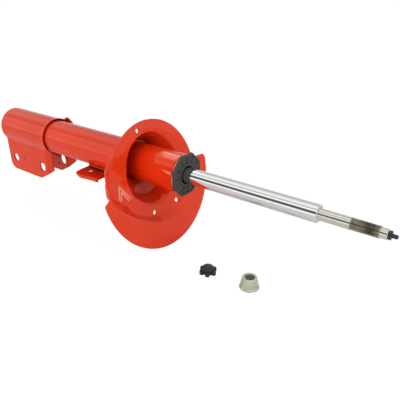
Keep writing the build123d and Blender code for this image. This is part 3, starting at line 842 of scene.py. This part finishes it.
def piston_rod():
    """Hollow rod with its neck, helical thread and nose."""
    chamfer = 0.9
    outline = [(262.0, 4.5), (262.0, 5.7), (262.8, 6.5), (300.0, 6.5), (300.0, 10.6), (300.4, ROD_R)]
    outline += [(302.0, ROD_R), (ROD_SHOULDER - 3.0, ROD_R)]   # holds the long face's shading straight
    outline += [(ROD_SHOULDER - chamfer - 0.3, ROD_R), (ROD_SHOULDER - chamfer, ROD_R - 0.08)]
    outline += [(ROD_SHOULDER - 0.1, ROD_R - chamfer), (ROD_SHOULDER, ROD_R - chamfer - 0.2)]
    outline += [(ROD_SHOULDER, NECK_R + 0.9), (ROD_SHOULDER + 0.3, NECK_R + 0.3)]
    outline += [(ROD_SHOULDER + 1.0, NECK_R), (ROD_SHOULDER + 3.0, NECK_R)]
    outline += [(THREAD_START - 1.0, NECK_R), (THREAD_START, NECK_R)]
    steps = int((THREAD_END + 0.6 - THREAD_START) / 0.15)
    places = [THREAD_START + 0.15 * i for i in range(1, steps + 1)]
    outline += [(x, thread_radius(x)) for x in places]
    outline += [(THREAD_END + 0.9, NECK_R - 0.25), (THREAD_END + 1.3, NOSE_R), (ROD_END - 0.8, NOSE_R)]
    outline += [(ROD_END - 0.2, NOSE_R - 0.55), (ROD_END, NOSE_R - 0.9), (ROD_END, 3.1)]
    outline += [(ROD_END - 0.2, 2.9), (310.0, 2.9), (310.0, 4.5)]
    points, faces = turned(outline)
    rod = new_piece("piston_rod_ground", points, faces, "rod_chrome", "rod", ["piston_rod"])
    for finish in ("rod_neck", "rod_thread"):
        rod.data.materials.append(MATERIALS[finish])
    for face in rod.data.polygons:
        x = face.center.x / MM
        outside = math.hypot(face.center.y, face.center.z) / MM > 5.0
        if outside and THREAD_START - 0.1 < x < THREAD_END + 0.9:
            face.material_index = 2
        elif outside and ROD_SHOULDER - 0.05 < x:
            face.material_index = 1
    shade(rod, 28.0)


# ---- loose nut and knob -------------------------------------------------------------------------------
LOOSE_COLUMNS = 144
NUT_FLAT = 10.0              # from the nut's axis to each flat
KNOB_LOBES = 6
KNOB_LOBE = (9.2, 3.2)       # distance and radius of a lobe
KNOB_VALLEY = 7.9


def standing(node, name, slot, body, profile, closed):
    """A piece where the node stands, from (height, radius by angle) lines about its upright axis."""
    low, high = (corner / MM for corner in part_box(node))
    middle = (low + high) / 2
    points = []
    for height, radius in profile:
        for j in range(LOOSE_COLUMNS):
            a = 2 * math.pi * j / LOOSE_COLUMNS
            r = radius(math.degrees(a)) if callable(radius) else radius
            points.append((middle.x + r * math.cos(a), middle.y + r * math.sin(a), low.z + height))
    faces = grid_faces(len(profile), LOOSE_COLUMNS, wrap=True)
    close = ring_join if closed else ring_caps
    faces += close(len(profile), LOOSE_COLUMNS)
    shade(new_piece(name, points, faces, slot, body, [node]), 32.0)


def lock_nut():
    """Flanged hexagon with a tall round collar over the insert."""
    def hexagon(angle):
        return min(NUT_FLAT / math.cos(math.radians((angle + 30) % 60 - 30)), 11.3)

    def foot(spread):
        return lambda angle: max(hexagon(angle), spread)

    def head(limit):
        return lambda angle: min(hexagon(angle), limit)

    profile = [(0, 6.8), (0, 12.6), (0.25, 13.0), (1.3, 13.0), (1.7, 12.7), (2.4, foot(11.6))]
    profile += [(3.2, foot(10.7)), (4.0, foot(10.2)), (6.0, hexagon), (9.4, hexagon)]
    profile += [(10.2, head(10.9)), (10.9, head(10.3))]
    profile += [(11.3, 9.85), (12.0, 9.75), (14.6, 9.7), (15.1, 9.5), (15.45, 9.1), (15.6, 8.6)]
    profile += [(15.6, 7.4), (15.4, 6.9), (15.0, 6.6), (14.5, 6.5), (14.5, 8.0), (11.4, 8.0)]
    profile += [(11.4, 6.2), (0.6, 6.2)]
    standing("lock_nut", "lock_nut_forged", "zinc", "nut", profile, True)


def adjuster_knob():
    """Lobed grip under a domed hub with flutes."""
    def lobed(share):
        def radius(angle):
            off = math.radians((angle + 180 / KNOB_LOBES) % (360 / KNOB_LOBES) - 180 / KNOB_LOBES)
            place, lobe = KNOB_LOBE
            inside = lobe ** 2 - (place * math.sin(off)) ** 2
            reach = place * math.cos(off) + math.sqrt(inside) if inside > 0 else 0.0
            return max(KNOB_VALLEY, reach) * share
        return radius

    def fluted(radius, cut):
        return lambda angle: radius - cut * max(0.0, -math.cos(math.radians(angle * KNOB_LOBES))) ** 3

    profile = [(0, 2.6), (0, lobed(0.93)), (0.2, lobed(0.97)), (0.7, lobed(1.0)), (4.6, lobed(1.0))]
    profile += [(5.1, lobed(0.985)), (5.5, lobed(0.95)), (5.6, lobed(0.9)), (5.7, fluted(7.9, 0.5))]
    profile += [(8.2, fluted(7.7, 0.5)), (9.2, fluted(7.3, 0.4)), (9.9, 6.5), (10.3, 5.2)]
    profile += [(10.5, 3.4), (10.5, 0.4)]
    standing("adjuster_knob", "adjuster_knob_moulding", "black_knob", "knob", profile, False)


lock_nut()
adjuster_knob()
piston_rod()
bump_cap()
end_ring()


# ---- camera, floor and light --------------------------------------------------------------------------
camera = bpy.data.objects.new("camera", bpy.data.cameras.new("camera"))
camera.location = (0.7453, -0.4400, 0.2389)
camera.rotation_mode = "QUATERNION"
camera.rotation_quaternion = Vector((-0.5355, 0.7194, -0.4423)).to_track_quat("-Z", "Y")
camera.data.lens = 40.46
camera.data.sensor_width = 36.0
camera.data.clip_start = 0.01
camera.data.clip_end = 100.0
bpy.context.scene.collection.objects.link(camera)
bpy.context.scene.camera = camera
bpy.context.scene.view_settings.view_transform = "Standard"

# Studio: bright walls, with a dark gap and bright strips that show as bands in the chrome and the paint.
STUDIO = [                   # (degrees about +X from +Y towards +Z, brightness)
    (-180, 1.35), (-90, 0.45), (-20, 0.95), (0, 0.90), (32, 0.50), (55, 0.72), (88, 1.15), (112, 0.48),
    (124, 1.25), (140, 1.1), (165, 1.1), (172, 1.35), (180, 1.35),
]
PATCHES = [                  # (from, to, their edges' softness, reach along X from, to, brightness)
    (137, 169, 8.0, -0.70, 2.0, 0.12),
    (89.5, 92.5, 1.0, -2.0, -0.66, 0.25),
    (42, 89, 2.0, -0.625, -0.565, 3.0),
    (164, 182, 2.0, -0.636, -0.595, 3.6),
    (-182, -173, 2.0, -0.625, -0.595, 3.6),
]
ROOM_LIGHT = 0.66            # share of the studio's brightness that lights matt surfaces


def studio():
    """World that shines by angle about the strut's axis, and is plain white to the camera."""
    world = bpy.data.worlds.new("studio")
    world.use_nodes = True
    bpy.context.scene.world = world
    n = Nodes(world.node_tree)
    direction = n.add("ShaderNodeTexCoord").outputs["Generated"]
    axes = n.add("ShaderNodeSeparateXYZ", {"Vector": direction})
    angle = n.maths("ARCTAN2", axes.outputs["Z"], axes.outputs["Y"])
    ramp = n.add("ShaderNodeValToRGB", {"Fac": n.spread(angle, -math.pi, math.pi)})
    stops = ramp.color_ramp.elements
    while len(stops) < len(STUDIO):
        stops.new(0.5)
    for stop, (degrees, level) in zip(stops, STUDIO):
        stop.position = (degrees + 180) / 360
        stop.color = (level, level, level, 1.0)
    colour = ramp.outputs["Color"]
    for first, last, soft, back, front, level in PATCHES:
        mask = n.spread(angle, math.radians(first - soft / 2), math.radians(first + soft / 2))
        upper = n.spread(angle, math.radians(last + soft / 2), math.radians(last - soft / 2))
        mask = n.maths("MULTIPLY", mask, upper)
        mask = n.maths("MULTIPLY", mask, n.spread(axes.outputs["X"], back, back + 0.004))
        mask = n.maths("MULTIPLY", mask, n.spread(axes.outputs["X"], front, front - 0.004))
        colour = n.mix(mask, colour, (level, level, level, 1.0))
    path = n.add("ShaderNodeLightPath")
    strength = n.spread(path.outputs["Is Diffuse Ray"], 0.0, 1.0, 1.0, ROOM_LIGHT)
    colour = n.mix(path.outputs["Is Camera Ray"], colour, (1.0, 1.0, 1.0, 1.0))
    background = n.add("ShaderNodeBackground", {"Color": colour, "Strength": strength})
    n.add("ShaderNodeOutputWorld", {"Surface": background.outputs["Background"]})


def softbox(name, place, target, size, power):
    """Soft lamp that isn't seen directly or in reflections."""
    light = bpy.data.lights.new(name, "AREA")
    light.shape = "RECTANGLE"
    light.size, light.size_y = size
    light.energy = power
    lamp = bpy.data.objects.new(name, light)
    lamp.location = place
    lamp.rotation_mode = "QUATERNION"
    lamp.rotation_quaternion = (Vector(target) - Vector(place)).to_track_quat("-Z", "Y")
    lamp.visible_camera = False
    lamp.visible_glossy = False
    bpy.context.scene.collection.objects.link(lamp)


def stage_floor():
    """White floor that glows to the camera; in reflections it carries a painted shadow, a little darker
    near the part.
    """
    mesh = bpy.data.meshes.new("floor")
    bm = bmesh.new()
    bmesh.ops.create_grid(bm, x_segments=8, y_segments=8, size=20.0)
    bmesh.ops.translate(bm, verts=bm.verts, vec=(0.3, 0.0, cad_box[0].z - 0.0002))
    bm.to_mesh(mesh)
    bm.free()
    floor = bpy.data.objects.new("floor", mesh)
    bpy.context.scene.collection.objects.link(floor)
    made = bpy.data.materials.new("floor")
    made.use_nodes = True
    n = Nodes(made.node_tree)
    place = n.stretched((1, 1, 1))
    away = n.add("ShaderNodeVectorMath", {0: place, 1: (0.3, 0.0, 0.0)}, operation="DISTANCE")
    # Painted shadow: near the part the floor is darker for reflected rays, standing in for the shade it
    # would have there.
    near = n.mix(n.noise(place, 2.0), (0.70, 0.70, 0.70, 1), (0.75, 0.75, 0.75, 1))
    path = n.add("ShaderNodeLightPath")
    pale = n.maths("MAXIMUM", n.spread(away.outputs["Value"], 0.5, 2.5), path.outputs["Is Diffuse Ray"])
    tone = n.mix(pale, near, (0.95, 0.95, 0.95, 1))
    matt = n.add("ShaderNodeBsdfDiffuse", {"Color": tone})
    glow = n.add("ShaderNodeEmission", {"Color": (1, 1, 1, 1), "Strength": 1.04})
    share = n.maths("MULTIPLY", path.outputs["Is Camera Ray"], 0.93)
    surface = n.add("ShaderNodeMixShader", {0: share, 1: matt.outputs[0], 2: glow.outputs[0]})
    n.add("ShaderNodeOutputMaterial", {"Surface": surface.outputs[0]})
    mesh.materials.append(made)


studio()
stage_floor()
softbox("key", (0.3, -1.8, 0.7), (0.3, 0, 0), (1.2, 1.2), 16.6)
softbox("front", (1.8, 0.1, 0.55), (0.35, 0, 0), (0.7, 0.7), 8.8)
softbox("top", (-0.95, 0.5, 1.4), (0.2, 0, 0), (0.8, 1.1), 4.5)
